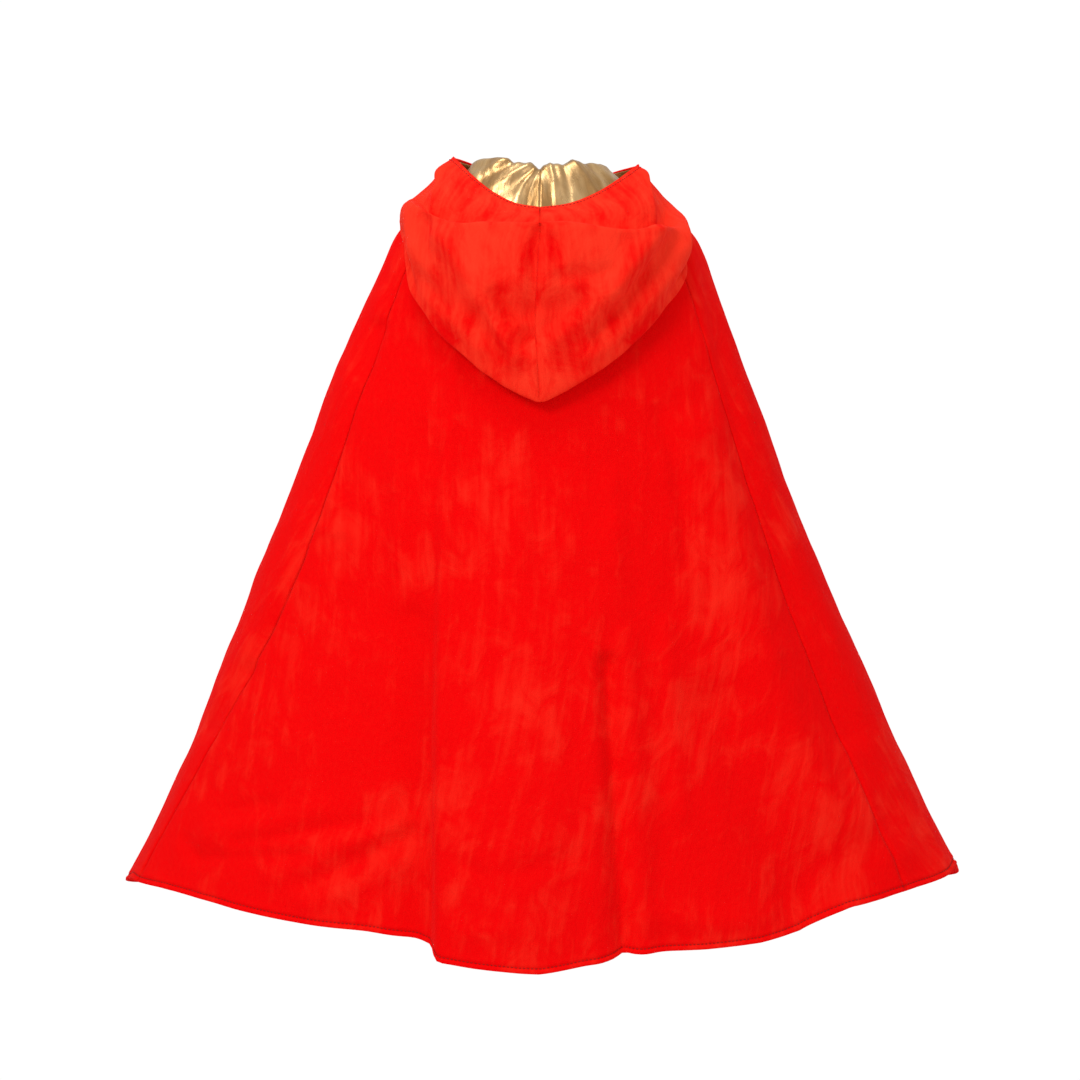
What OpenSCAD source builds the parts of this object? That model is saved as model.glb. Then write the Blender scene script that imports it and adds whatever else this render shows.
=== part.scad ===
// Hooded dress-up cape: velvet outside, metallic lining inside, hood thrown back.
// +Z is up, the wearer faces -Y, and the origin is the centre of the neck seam.

/* [Neck] */
// Half width of the neck seam, side to side
neck_half_w = 56; // [48:1:64]
// Half depth of the neck seam, front to back
neck_half_d = 50; // [44:1:58]
// How much lower the neck seam is at the throat than at the nape
throat_drop = 14; // [8:1:20]

/* [Cape] */
// Length of cloth from nape to hem
back_drop = 698; // [560:1:800]
// Length of cloth from neck to hem over the shoulder
side_drop = 722; // [580:1:820]
// Length of cloth from throat to hem
front_drop = 676; // [540:1:780]
// Slope of the cloth on the shoulder, below level
shoulder_slope = 28; // [20:1:34]
// Slope of the cloth below the shoulder
side_slope = 69; // [66:0.5:76]
// How much the hem kicks out at the sides
hem_kick = 7; // [0:1:10]
// Slope of the cloth down the back
back_slope = 79; // [76:0.5:84]
// Slope of the cloth down the front
front_slope = 79; // [76:0.5:84]
// Depth of the flutes at the hem, as a share of their full size
flute_share = 1; // [0:0.1:1]

/* [Panels] */
// Azimuth of the side seams, from the centre back
seam_azimuth = 58; // [50:1:66]
// Width of the gap between the front edges at the neck
gap_at_neck = 10; // [6:1:16]
// Width of the gap between the front edges at the hem
gap_at_hem = 150; // [80:5:200]
// Thickness of the velvet
velvet_t = 2; // [1.6:0.1:2.4]
// Thickness of the lining
lining_t = 0.8; // [0.6:0.1:1]

/* [Hood] */
// Half width of the hood's pouch
pouch_half_w = 128; // [110:1:140]
// Level of the pouch's top fold
pouch_top = -44; // [-50:1:-40]
// Level of the pouch's point
pouch_point = -207; // [-230:1:-180]
// Depth of the open pouch, back to front
pouch_depth = 46; // [36:1:56]
// Half width across the hood's face edge
edge_half_w = 82; // [74:1:90]
// Level of the face edge behind the nape
edge_low = -34; // [-40:1:-28]
// Level of the face edge beside the neck
edge_high = 13; // [8:1:18]

/* [Closure] */
// Width of the tab, from its sewn end to its free end
tab_w = 58; // [48:1:64]
// Height of the tab
tab_h = 36; // [30:1:40]
// Width of the hook and loop tapes
tape_w = 22; // [16:1:22]

/* [Hidden] */

velvet_red = "#e60d05";
lining_gold = "#c8a869";
thread_red = "#b00a06";
tape_red = "#c41812";
label_white = "#f2f0ea";

ply_gap = 0.3;            // air between two layers of cloth
thread_t = 0.7;           // thickness of a row of stitches
stitch_inset = 5;         // from an edge to its row of stitches
hem_turn = 12;            // the lining stops this far above the hem
lining_out = -velvet_t - ply_gap;
lining_in = lining_out - lining_t;

// Azimuth, half width and depth of each flute at the hem
flutes = [
  [0, 11, 34], [38, 13, 8], [-41, 13, 12], [70, 9, 5], [-68, 10, 6],
  [108, 11, 24], [-110, 12, 26], [142, 11, 24], [-144, 12, 22]];

function smooth(t) = let (c = min(1, max(0, t))) c * c * (3 - 2 * c);

// Slope of the cloth below level, s along it from the neck seam
function side_fall(s) = shoulder_slope
  + (side_slope - shoulder_slope) * smooth((s - 50) / 75)
  - hem_kick * smooth((s - side_drop + 130) / 110);
function back_fall(s) = 62 + (back_slope - 62) * smooth(s / 80);
function front_fall(s) = 72 + (front_slope - 72) * smooth((s - 40) / 90);

// A path of [share of the drop, distance out, level], stepped down the cloth
path_steps = 96;
side_path = [for (i = 0, r = neck_half_w, z = 0; i <= path_steps;
  r = r + side_drop / path_steps * cos(side_fall(i * side_drop / path_steps)),
  z = z - side_drop / path_steps * sin(side_fall(i * side_drop / path_steps)),
  i = i + 1) [i / path_steps, r, z]];
back_path = [for (i = 0, r = neck_half_d, z = 0; i <= path_steps;
  r = r + back_drop / path_steps * cos(back_fall(i * back_drop / path_steps)),
  z = z - back_drop / path_steps * sin(back_fall(i * back_drop / path_steps)),
  i = i + 1) [i / path_steps, r, z]];
front_path = [for (i = 0, r = neck_half_d, z = -throat_drop; i <= path_steps;
  r = r + front_drop / path_steps * cos(front_fall(i * front_drop / path_steps)),
  z = z - front_drop / path_steps * sin(front_fall(i * front_drop / path_steps)),
  i = i + 1) [i / path_steps, r, z]];

function column(path, k) = [for (p = path) [p[0], p[k]]];
side_r = column(side_path, 1);
side_z = column(side_path, 2);
back_r = column(back_path, 1);
back_z = column(back_path, 2);
front_r = column(front_path, 1);
front_z = column(front_path, 2);

// How far the flutes push the cloth outwards
function turn_from(a, b) = let (d = (a - b) % 360) d > 180 ? d - 360 : d < -180 ? d + 360 : d;
function flute_at(a) = [for (f = flutes) f[2] * exp(-pow(turn_from(a, f[0]) / f[1], 2))];
function total(list, i = 0) = i < len(list) ? list[i] + total(list, i + 1) : 0;
function flute(a, v) = flute_share * pow(smooth((v - 0.12) / 0.88), 1.4) * total(flute_at(a));

// The cape's outside: a is the azimuth from the centre back, v runs from neck to hem
function cape(a, v) = let (
    back = cos(a) >= 0,
    x = lookup(v, side_r),
    y = lookup(v, back ? back_r : front_r),
    z = lookup(v, back ? back_z : front_z),
    out = flute(a, v),
    side = pow(sin(a), 2))
  [(x + out) * sin(a), (y + out) * cos(a), lookup(v, side_z) * side + z * (1 - side) - out / 4];

// Azimuth of a line that keeps its distance from the front edge
function half_gap(v) = (gap_at_neck + (gap_at_hem - gap_at_neck) * v) / 2;
function beside_edge(v, inset) = 180 - asin((half_gap(v) + inset) / lookup(v, side_r));

// Unit normal of a surface, by small steps
function unit(p) = p / norm(p);
function normal(f, u, v, du, dv) =
  unit(cross(f(u + du, v) - f(u - du, v), f(u, v + dv) - f(u, v - dv)));

// A sheet of cloth between two distances from a surface f(u, v), with corners on the lines us and vs
module sheet(f, us, vs, low, high, du = 0.002, dv = 0.002) {
  cols = len(us) - 1;
  rows = len(vs) - 1;
  points = [for (d = [low, high]) for (v = vs) for (u = us) f(u, v) + d * normal(f, u, v, du, dv)];
  w = cols + 1;
  top = w * (rows + 1);
  inside = [for (i = [0:rows - 1]) for (j = [0:cols - 1]) let (k = i * w + j)
    each [[k, k + 1, k + w], [k + 1, k + w + 1, k + w]]];
  outside = [for (t = inside) [t[0] + top, t[2] + top, t[1] + top]];
  rim = concat(
    [for (j = [0:cols]) j],
    [for (i = [1:rows]) i * w + cols],
    [for (j = [1:cols]) rows * w + cols - j],
    [for (i = [1:rows - 1]) (rows - i) * w]);
  walls = [for (k = [0:len(rim) - 1]) let (p = rim[k], q = rim[(k + 1) % len(rim)])
    each [[p, p + top, q], [q, p + top, q + top]]];
  polyhedron(points, concat(inside, outside, walls));
}

// n steps from a to b
function steps(a, b, n) = [for (i = [0:n]) a + (b - a) * i / n];

// u runs across the back from one side seam, -1, to the other, 1
back_cloth = function (u, v) cape(seam_azimuth * u, v);
// u runs from the side seam, 0, to the front edge, 1
left_cloth = function (u, v) cape(seam_azimuth + (beside_edge(v, 0) - seam_azimuth) * u, v);
// u runs from the front edge, -1, to the side seam, 0
right_cloth = function (u, v) cape((beside_edge(v, 0) - seam_azimuth) * u - seam_azimuth, v);
// u is minus the distance from the left front edge, in millimetres
front_margin = function (u, v) cape(beside_edge(v, -u), v);
// u is the azimuth in degrees
round_cloth = function (u, v) cape(u, v);

module left_or_right(side) {
  if (side > 0) children();
  else mirror([1, 0, 0]) children();
}

// ---- Cape ----

// Lines across the cloth, as shares of the drop: close together over the shoulder
tape_line = 0.018;
hem_line = 1 - hem_turn / back_drop;
lining_lines = [0, tape_line, 0.05, 0.085, 0.12, 0.16, 0.21, 0.3, 0.42, 0.54, 0.66, 0.78, 0.9, hem_line];
velvet_lines = concat(lining_lines, 1);
// Lines down the cloth
back_lines = steps(-1, 1, 16);
edge_turn = 0.985;        // the lining stops this share of the way to the front edge
seam_turn = 0.003;        // and starts this share from the side seam
front_lining_lines = steps(seam_turn, edge_turn, 13);
front_lines = concat(front_lining_lines, 1);
function backwards(list) = [for (i = [len(list) - 1:-1:0]) -list[i]];

module back_velvet() color(velvet_red)
  sheet(back_cloth, back_lines, velvet_lines, -velvet_t, 0);
module left_front_velvet() color(velvet_red)
  sheet(left_cloth, front_lines, velvet_lines, -velvet_t, 0);
module right_front_velvet() color(velvet_red)
  sheet(right_cloth, backwards(front_lines), velvet_lines, -velvet_t, 0);

module back_lining() color(lining_gold)
  sheet(back_cloth, back_lines, lining_lines, lining_in, lining_out);
module left_front_lining() color(lining_gold)
  sheet(left_cloth, front_lining_lines, lining_lines, lining_in, lining_out);
module right_front_lining() color(lining_gold)
  sheet(right_cloth, backwards(front_lining_lines), lining_lines, lining_in, lining_out);

tape_out = lining_in - 2 * ply_gap;
tape_t = 1;
tape_end = 168;           // azimuth where the neck tape is turned in
module neck_tape() color(tape_red)
  sheet(round_cloth, steps(-tape_end, tape_end, 46), [0.001, tape_line], tape_out - tape_t, tape_out, 0.2);

label_out = tape_out - tape_t - 4 * ply_gap;
label_half = 14;          // half the label's width, in degrees round the neck
label_low = 0.07;         // its lower edge, as a share of the drop
module care_label() color(label_white)
  sheet(round_cloth, steps(-label_half, label_half, 4), [0.004, 0.03, 0.05, label_low],
    label_out - 0.4, label_out, 0.2);

// ---- Stitches ----

module front_stitching() color(thread_red) for (side = [1, -1]) left_or_right(side)
  sheet(front_margin, [-stitch_inset - thread_t, -stitch_inset], concat(0.01, [for (v = lining_lines)
    if (v > 0.01) v]), 2 * ply_gap, 2 * ply_gap + thread_t);

stitch_low = 1 - stitch_inset / back_drop;
stitch_lines = [stitch_low - thread_t / back_drop, stitch_low];
module hem_row(f, lines) sheet(f, lines, stitch_lines, 2 * ply_gap, 2 * ply_gap + thread_t);
module hem_stitching() color(thread_red) {
  hem_row(back_cloth, back_lines);
  hem_row(left_cloth, front_lining_lines);
  hem_row(right_cloth, backwards(front_lining_lines));
}

// ---- Hood pouch, which hangs down the back ----

back_gap = 4;             // from the cape to the pouch
back_at = [for (p = back_path) [-p[2], p[1]]];
side_at = [for (p = side_path) [-p[2], p[1]]];
// How far back the cape's outside is at a place on the back
function back_rest(x, z) =
  lookup(-z, back_at) * sqrt(1 - pow(x / (lookup(-z, side_at) + 8), 2));

pouch_back_top = pouch_top - 18;
pouch_reach = 0.985;      // share of the half width where the side folds end
// Level of the fold along the pouch's outline
function pouch_outline(x) = pouch_top
  + (pouch_point - pouch_top) * pow(1 - pow(x / pouch_half_w, 1.11), 0.4545);
// The pouch: u runs from the centre seam to the side fold, v from the back layer round to the front
pouch = function (u, v) let (
    x = pouch_half_w * pouch_reach * u,
    front = (1 - cos(180 * v)) / 2,
    top = pouch_back_top + (pouch_top - pouch_back_top) * front,
    z = top - (top - pouch_outline(x)) * pow(max(0, sin(180 * v)), 0.8),
    deep = pouch_depth * sqrt(1 - pow(u * pouch_reach, 2)))
  [x, back_rest(x, z) + back_gap + velvet_t + deep * front * front, z];

seam_half = 0.002;        // half the velvet's gap at the centre seam, as a share of the half width
pouch_loops = steps(0.02, 0.98, 16);
module hood_half(from, low, high) sheet(pouch, steps(from, 1, 9), pouch_loops, low, high);

module hood_left_velvet() color(velvet_red) hood_half(seam_half, -velvet_t, 0);
module hood_right_velvet() color(velvet_red) mirror([1, 0, 0]) hood_half(seam_half, -velvet_t, 0);
module hood_left_lining() color(lining_gold) hood_half(4 * seam_half, ply_gap, ply_gap + lining_t);
module hood_right_lining() color(lining_gold) mirror([1, 0, 0])
  hood_half(4 * seam_half, ply_gap, ply_gap + lining_t);

// ---- Hood round the neck ----

edge_back = 80;           // how far the face edge stands behind the neck's centre
edge_front = 56;          // and in front of it, at the throat
edge_end = 168;           // azimuth where the face edge meets the throat
// The face edge, a the azimuth from the centre back
function edge_y(a) = (cos(a) >= 0 ? edge_back : edge_front) * cos(a);
function edge_z(a) = let (s = pow(sin(a), 2))
  (cos(a) >= 0 ? edge_low : 2 - throat_drop) * (1 - s) + edge_high * s;
// Beside the neck the hood spreads over the shoulder
function on_shoulder(a) = exp(-pow((a - 75) / 28, 2));
// How deep the hood hangs below the face edge, and how far it spreads
function edge_depth(a) = (14 + 26 * on_shoulder(a)) * (1 - 0.8 * smooth((a - 100) / 60));
function edge_flare(a) = 2 + 32 * on_shoulder(a);
edge_band = function (u, v) let (a = edge_end * u, out = edge_flare(a) * v)
  [(edge_half_w + out) * sin(a), edge_y(a) + out * cos(a), edge_z(a) - edge_depth(a) * pow(max(v, 0), 1.4)];

edge_lines = steps(0.001, 1, 18);
module hood_edge_left() color(velvet_red) sheet(edge_band, edge_lines, steps(0, 1, 4), 0, velvet_t);
module hood_edge_right() color(velvet_red) mirror([1, 0, 0])
  sheet(edge_band, edge_lines, steps(0, 1, 4), 0, velvet_t);

// The gold gutter from the neck seam down, round and up to the face edge
function bend(p, q, r, t) = (1 - t) * (1 - t) * p + 2 * t * (1 - t) * q + t * t * r;
neck_gutter = function (u, v) let (
    a = edge_end * u,
    seam = cape(a, 0) + [0, 0, 2],
    edge = edge_band(u, 0) - [2 * sin(a), 2 * cos(a), 0],
    low = min(seam[2], edge[2]) - (cos(a) >= 0 ? 8 * pow(cos(a), 2) : 0),
    turn = [(seam[0] + 3 * edge[0]) / 4, (seam[1] + 3 * edge[1]) / 4, low])
  bend(seam, turn, edge, v);

gutter_lines = steps(0, 1, 5);
module hood_neck_lining_left() color(lining_gold) sheet(neck_gutter, edge_lines, gutter_lines, 0, lining_t);
module hood_neck_lining_right() color(lining_gold) mirror([1, 0, 0])
  sheet(neck_gutter, edge_lines, gutter_lines, 0, lining_t);

hood_row = 0.2;           // share of the band's depth where its stitches run
module hood_stitching() color(thread_red) for (side = [1, -1]) left_or_right(side)
  sheet(edge_band, steps(0.001, 0.95, 18), [hood_row, hood_row + 0.04],
    velvet_t + 2 * ply_gap, velvet_t + 2 * ply_gap + thread_t);

// ---- Closure at the throat ----

// u is the distance to the wearer's right of the throat, v the share of the drop
throat = function (u, v) cape(180 + asin(u / lookup(v, side_r)), v);
tab_hinge = -14;          // where the tab is sewn down
tab_end = tab_hinge + tab_w;
tab_top = 0.02;
tab_low = tab_top + tab_h / front_drop;
tape_mid = (tab_top + tab_low) / 2;
tape_share = tape_w / front_drop / 2;
tape_end_gap = 5;         // from the tapes to the tab's free end

module closure_piece(from, to, top, low, under, over)
  sheet(throat, steps(from, to, 6), steps(top, low, 2), under, over, 0.2);
module closure_tape(under, over)
  closure_piece(tab_end - tape_end_gap - tape_w, tab_end - tape_end_gap,
    tape_mid - tape_share, tape_mid + tape_share, under, over);

// Heights above the right front, layer by layer
module loop_tape() color(tape_red) closure_tape(0.6, 1.6);
module hook_tape() color(tape_red) closure_tape(2, 3);
module closure_tab_lining() color(lining_gold) closure_piece(tab_hinge, tab_end, tab_top, tab_low, 3.7, 4.3);
module closure_tab() color(velvet_red) closure_piece(tab_hinge, tab_end, tab_top, tab_low, 4.6, 6.4);

tab_stitch_inset = 0.006; // from the tab's edges, as a share of the drop
tab_stitch_w = 0.0012;
module tab_stitching() color(thread_red)
  for (v = [tab_top + tab_stitch_inset, tab_low - tab_stitch_inset])
    closure_piece(tab_hinge + 1, tab_end - 4, v, v + tab_stitch_w, 6.8, 7.4);

back_velvet();
left_front_velvet();
right_front_velvet();
back_lining();
left_front_lining();
right_front_lining();
neck_tape();
care_label();
hood_left_velvet();
hood_right_velvet();
hood_left_lining();
hood_right_lining();
hood_edge_left();
hood_edge_right();
hood_neck_lining_left();
hood_neck_lining_right();
closure_tab();
closure_tab_lining();
hook_tape();
loop_tape();
hood_stitching();
front_stitching();
hem_stitching();
tab_stitching();
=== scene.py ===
import math

import bmesh
import bpy
import numpy as np
from mathutils import Matrix, Vector, noise


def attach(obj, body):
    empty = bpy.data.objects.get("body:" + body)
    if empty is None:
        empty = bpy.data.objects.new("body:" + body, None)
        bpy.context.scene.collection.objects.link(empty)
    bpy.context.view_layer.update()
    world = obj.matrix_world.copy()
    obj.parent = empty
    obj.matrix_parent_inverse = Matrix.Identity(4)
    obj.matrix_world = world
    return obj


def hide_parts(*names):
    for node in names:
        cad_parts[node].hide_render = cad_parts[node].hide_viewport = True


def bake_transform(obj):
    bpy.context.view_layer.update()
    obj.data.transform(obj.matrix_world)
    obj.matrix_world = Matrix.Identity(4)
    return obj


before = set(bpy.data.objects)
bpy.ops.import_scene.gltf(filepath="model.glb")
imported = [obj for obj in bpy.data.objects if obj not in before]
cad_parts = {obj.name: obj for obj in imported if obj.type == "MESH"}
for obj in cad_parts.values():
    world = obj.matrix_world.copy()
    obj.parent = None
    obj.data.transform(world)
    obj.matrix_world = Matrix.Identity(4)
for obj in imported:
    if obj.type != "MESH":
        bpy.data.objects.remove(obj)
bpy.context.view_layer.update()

bl_info = {
    "name": "Hooded Dress-up Cape",
    "version": (1, 0, 0),
    "blender": (4, 5, 0),
    "location": "3D View > Sidebar > Cape",
    "description": "Velvet cape with a lined hood, thrown back, and a hook-and-loop throat tab",
    "category": "Object",
}

MM = 0.001


# ---- Sizes, cloth and light that a user would change ----

def length(name, text, default):
    return bpy.props.FloatProperty(
        name=name, description=text, default=default, unit="LENGTH", precision=4)


def amount(name, text, default):
    return bpy.props.FloatProperty(name=name, description=text, default=default)


def colour(name, text, default):
    return bpy.props.FloatVectorProperty(
        name=name, description=text, default=default, size=3, min=0, max=1, subtype="COLOR")


class CapeSizes(bpy.types.PropertyGroup):
    neck_half_width: length("Neck half width", "Half width of the neck seam", 0.056)
    neck_half_depth: length("Neck half depth", "Half depth of the neck seam, front to back", 0.050)
    throat_drop: length("Throat drop", "How much lower the neck seam is at the throat", 0.014)
    back_drop: length("Back length", "Cloth from nape to hem", 0.698)
    side_drop: length("Side length", "Cloth from neck to hem over the shoulder", 0.722)
    front_drop: length("Front length", "Cloth from throat to hem", 0.676)
    gap_at_neck: length("Gap at neck", "Gap between the front edges at the neck", 0.010)
    gap_at_hem: length("Gap at hem", "Gap between the front edges at the hem", 0.150)
    velvet: length("Velvet", "Thickness of the velvet with its pile", 0.0018)
    lining: length("Lining", "Thickness of the lining", 0.0006)
    hem_turn: length("Hem turn", "How far above the hem the lining ends", 0.012)
    fold_depth: bpy.props.FloatProperty(
        name="Fold depth", description="Depth of the folds, as a share", default=1.0, min=0, max=1.2)


class HoodSizes(bpy.types.PropertyGroup):
    left_half_width: length("Left half width", "Half width of the pouch on the wearer's left", 0.126)
    right_half_width: length("Right half width", "Half width of the pouch on the other side", 0.132)
    pouch_point: length("Point", "Level of the pouch's point", -0.207)
    pouch_depth: length("Pouch depth", "How far the open pouch stands off the back", 0.046)


class ClothLook(bpy.types.PropertyGroup):
    velvet_deep: colour("Velvet, nap down", "Velvet where the pile lies away", (0.83, 0.0008, 0.0016))
    # The brushed-up pile's lighter, oranger red is painted sheen laid into the base colour
    velvet_painted_sheen: colour("Velvet, nap up, painted sheen", "Velvet where the pile is brushed up, with painted sheen", (0.96, 0.036, 0.014))
    gold: colour("Lining", "Metallic lining", (0.72, 0.47, 0.22))
    # Deep brown painted shade for the lining's creases
    gold_painted_shade: colour("Lining, painted crease shade", "Metallic lining with painted shade in its creases", (0.46, 0.25, 0.09))
    thread: colour("Thread", "Sewing thread", (0.42, 0.008, 0.006))
    tape: colour("Tape", "Hook and loop tape", (0.52, 0.012, 0.008))
    binding: colour("Binding", "Twill tape round the neck", (0.50, 0.014, 0.010))
    label: colour("Label", "Blank satin label", (0.84, 0.82, 0.77))


class StageLook(bpy.types.PropertyGroup):
    camera_back: length("Camera distance", "From the neck's centre to the camera", 3.0)
    camera_level: length("Camera level", "Level of the camera", -0.3258)
    view_width: length("View width", "Width of the view at the neck", 0.972)
    sky: amount("Sky", "Strength of the white surround", 0.62)
    key: amount("Key", "Power of the key light in watts", 46.0)
    fill: amount("Fill", "Power of the fill light in watts", 11.0)
    top: amount("Top", "Power of the top light in watts", 14.0)
    floor_level: length("Floor", "Level of the floor", -1.15)


def in_mm(group, name):
    return getattr(group, name) / MM


# ---- Curves and surfaces, worked in millimetres ----

def smooth(t):
    c = np.clip(t, 0, 1)
    return c * c * (3 - 2 * c)


def bump_at(x, middle, width):
    return np.exp(-((x - middle) / width) ** 2)


def spline(knots, values, at):
    """A smooth curve through values, one for each knot."""
    knots = np.asarray(knots, float)
    values = np.asarray(values, float)
    at = np.asarray(at, float)
    shape = (-1,) + (1,) * (values.ndim - 1)
    step = np.diff(knots).reshape(shape)
    slope = np.diff(values, axis=0) / step
    tangent = np.concatenate([slope[:1], (slope[:-1] + slope[1:]) / 2, slope[-1:]])
    k = np.clip(np.searchsorted(knots, at, side="right") - 1, 0, len(knots) - 2)
    gap = (knots[k + 1] - knots[k]).reshape(shape)
    t = ((at - knots[k]) / (knots[k + 1] - knots[k])).reshape(shape)
    p, q = values[k], values[k + 1]
    m, n = tangent[k] * gap, tangent[k + 1] * gap
    return ((2 * t**3 - 3 * t**2 + 1) * p + (t**3 - 2 * t**2 + t) * m
            + (3 * t**2 - 2 * t**3) * q + (t**3 - t**2) * n)


def outward(a, up=0.0):
    """The direction away from the axis at azimuth a in degrees, with a share of up."""
    return np.stack([np.sin(np.radians(a)), np.cos(np.radians(a)), up + 0 * a], axis=-1)


def normals_of(points):
    """Unit normals of a grid of points, rows first."""
    down = np.gradient(points, axis=0)
    across = np.gradient(points, axis=1)
    n = np.cross(across, down)
    return n / np.maximum(np.linalg.norm(n, axis=2, keepdims=True), 1e-9)


def distance_to(x, z, path):
    """Distance of each point to a line of (x, z) corners."""
    best = np.full(x.shape, 1e9)
    for (ax, az), (bx, bz) in zip(path[:-1], path[1:]):
        dx, dz = bx - ax, bz - az
        t = np.clip(((x - ax) * dx + (z - az) * dz) / (dx * dx + dz * dz), 0, 1)
        best = np.minimum(best, np.hypot(x - ax - t * dx, z - az - t * dz))
    return best


def pushed(x, z, creases):
    """How far the creases push the cloth out: each is (width, height, path)."""
    total = np.zeros(x.shape)
    for width, height, path in creases:
        total += height * np.exp(-(distance_to(x, z, path) / width) ** 2)
    return total


def rumple(points, size, height, seed):
    """Gentle unevenness of cloth, from smooth noise."""
    offset = Vector((seed * 7.3, seed * 3.1, seed * 5.7))
    flat = points.reshape(-1, 3) / size
    values = [noise.noise(Vector(p) + offset) for p in flat]
    return height * np.array(values).reshape(points.shape[:-1])


# Folds that hang down the back: width, height (minus is a valley) and a path of (x, z)
BACK_FOLDS = [
    (8, 3.2, [(75, -165), (82, -430), (86, -690)]),
    (15, -6.0, [(116, -400), (114, -540), (108, -690)]),
    (10, -2.0, [(103, -230), (110, -390)]),
    (7, -7.5, [(-57, -430), (-63, -560), (-71, -690)]),
    (10, 3.0, [(-42, -420), (-48, -690)]),
    (10, 3.4, [(-74, -410), (-90, -690)]),
    (22, 8.0, [(-138, -235), (-168, -340), (-198, -450), (-246, -555), (-300, -606)]),
    (26, -5.0, [(-152, -470), (-196, -580), (-240, -650)]),
    (7, -2.6, [(-105, -215), (-121, -262), (-129, -345)]),
    (9, 3.0, [(-108, -400), (-120, -560)]),
    (9, -4.6, [(146, -140), (170, -226), (220, -380), (292, -500)]),
    (12, 4.2, [(164, -190), (192, -300), (250, -430)]),
    (12, -4.6, [(-150, -70), (-178, -245), (-236, -414), (-268, -505)]),
    (9, 2.4, [(124, -205), (122, -345)]),
    (8, 1.8, [(18, -235), (16, -345)]),
    (10, 2.2, [(-63, -275), (-62, -345)]),
    (6, 2.0, [(190, -316), (170, -318)]),
    (7, -2.6, [(273, -572), (234, -564)]),
    (11, 3.4, [(285, -590), (232, -580), (190, -566)]),
    (6, -2.4, [(261, -599), (196, -586), (156, -580)]),
    (10, 2.8, [(268, -606), (210, -598), (150, -590)]),
    (6, -2.6, [(297, -613), (261, -610), (200, -606)]),
    (10, 3.0, [(230, -626), (178, -604), (120, -580)]),
    (7, -2.8, [(200, -632), (150, -604), (112, -586)]),
    (11, 3.2, [(196, -648), (150, -630), (116, -612)]),
    (6, -2.0, [(310, -598), (298, -616)]),
    (6, -2.0, [(62, -596), (44, -604)]),
    (9, 2.2, [(58, -652), (24, -646)]),
    (9, -2.4, [(20, -600), (-22, -590)]),
    (12, 2.8, [(-96, -646), (-150, -652), (-196, -646)]),
    (26, -5.0, [(-222, -636), (-300, -592)]),
    (7, -2.2, [(-330, -596), (-342, -612)]),
    (6, -2.0, [(258, -250), (262, -300)]),
]

# Folds on the hood's pouch
POUCH_FOLDS = [
    (7, -5.3, [(2, -60), (4, -120), (6, -134)]),
    (15, -7.8, [(30, -128), (-34, -126), (4, -150)]),
    (7, -4.7, [(106, -92), (82, -124)]),
    (6, -5.6, [(54, -130), (30, -166)]),
    (6, -5.3, [(38, -114), (12, -156)]),
    (11, 7.1, [(84, -62), (58, -104), (22, -166)]),
    (9, 4.7, [(108, -70), (92, -116), (52, -160)]),
    (8, -7.1, [(-118, -62), (-80, -112), (-54, -148)]),
    (11, 6.5, [(-104, -56), (-64, -110), (-16, -150)]),
    (8, 3.7, [(-116, -92), (-84, -134), (-44, -168)]),
    (7, -3.1, [(-62, -94), (-20, -98)]),
    (6, -2.8, [(-12, -66), (-16, -84)]),
    (8, -2.8, [(30, -62), (36, -90)]),
]

# Creases of the lining behind the face edge
GATHERS = [
    (2.6, -2.2, [(1, 4), (18, -10), (38, -26)]),
    (2.4, 1.8, [(6, 5), (30, -10), (50, -20)]),
    (2.4, -2.0, [(0, 3), (10, -20), (12, -34)]),
    (2.2, 1.6, [(2, 3), (18, -22), (22, -34)]),
    (2.2, 1.8, [(-9, 4), (-13, -16), (-14, -34)]),
    (2.6, -1.8, [(-20, 5), (-24, -14), (-26, -30)]),
    (2.6, 2.2, [(-28, 6), (-40, -10), (-48, -22)]),
    (2.4, -1.8, [(-38, 7), (-54, -6), (-62, -14)]),
    (2.6, 1.8, [(30, 8), (48, -2), (60, -8)]),
    (2.2, -1.6, [(22, 7), (44, -6), (56, -14)]),
    (3.0, -1.4, [(1, 5), (1, -2)]),
]

# Level of the hem above its plain line, by azimuth from the centre back
HEM_LIFT = [(-180, 0), (-100, 8), (-82, 17), (-46, 13), (-37, 2), (-30, 0.5), (-22, 2), (-15, 5),
            (-11, 6), (-6, 4), (0, 0.6), (8, 4.5), (11.5, 7), (13, 8.5), (17, 10.5), (24, 12.5),
            (50, 12.5), (64, 11), (80, 6), (92, 0), (180, 0)]
# Flutes of the fronts and sides: azimuth, half width, depth at the hem
FLUTES = [(72, 9, 4), (-70, 10, 5), (108, 11, 24), (-110, 12, 26), (142, 11, 24), (-144, 12, 22)]
PATH_STEPS = 96
SEAM_AZIMUTH = 58
# Distance of the hem's stitches from the hem
HEM_SEAM = 4.8


def turned_from(a, b):
    return (a - b + 180) % 360 - 180


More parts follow.
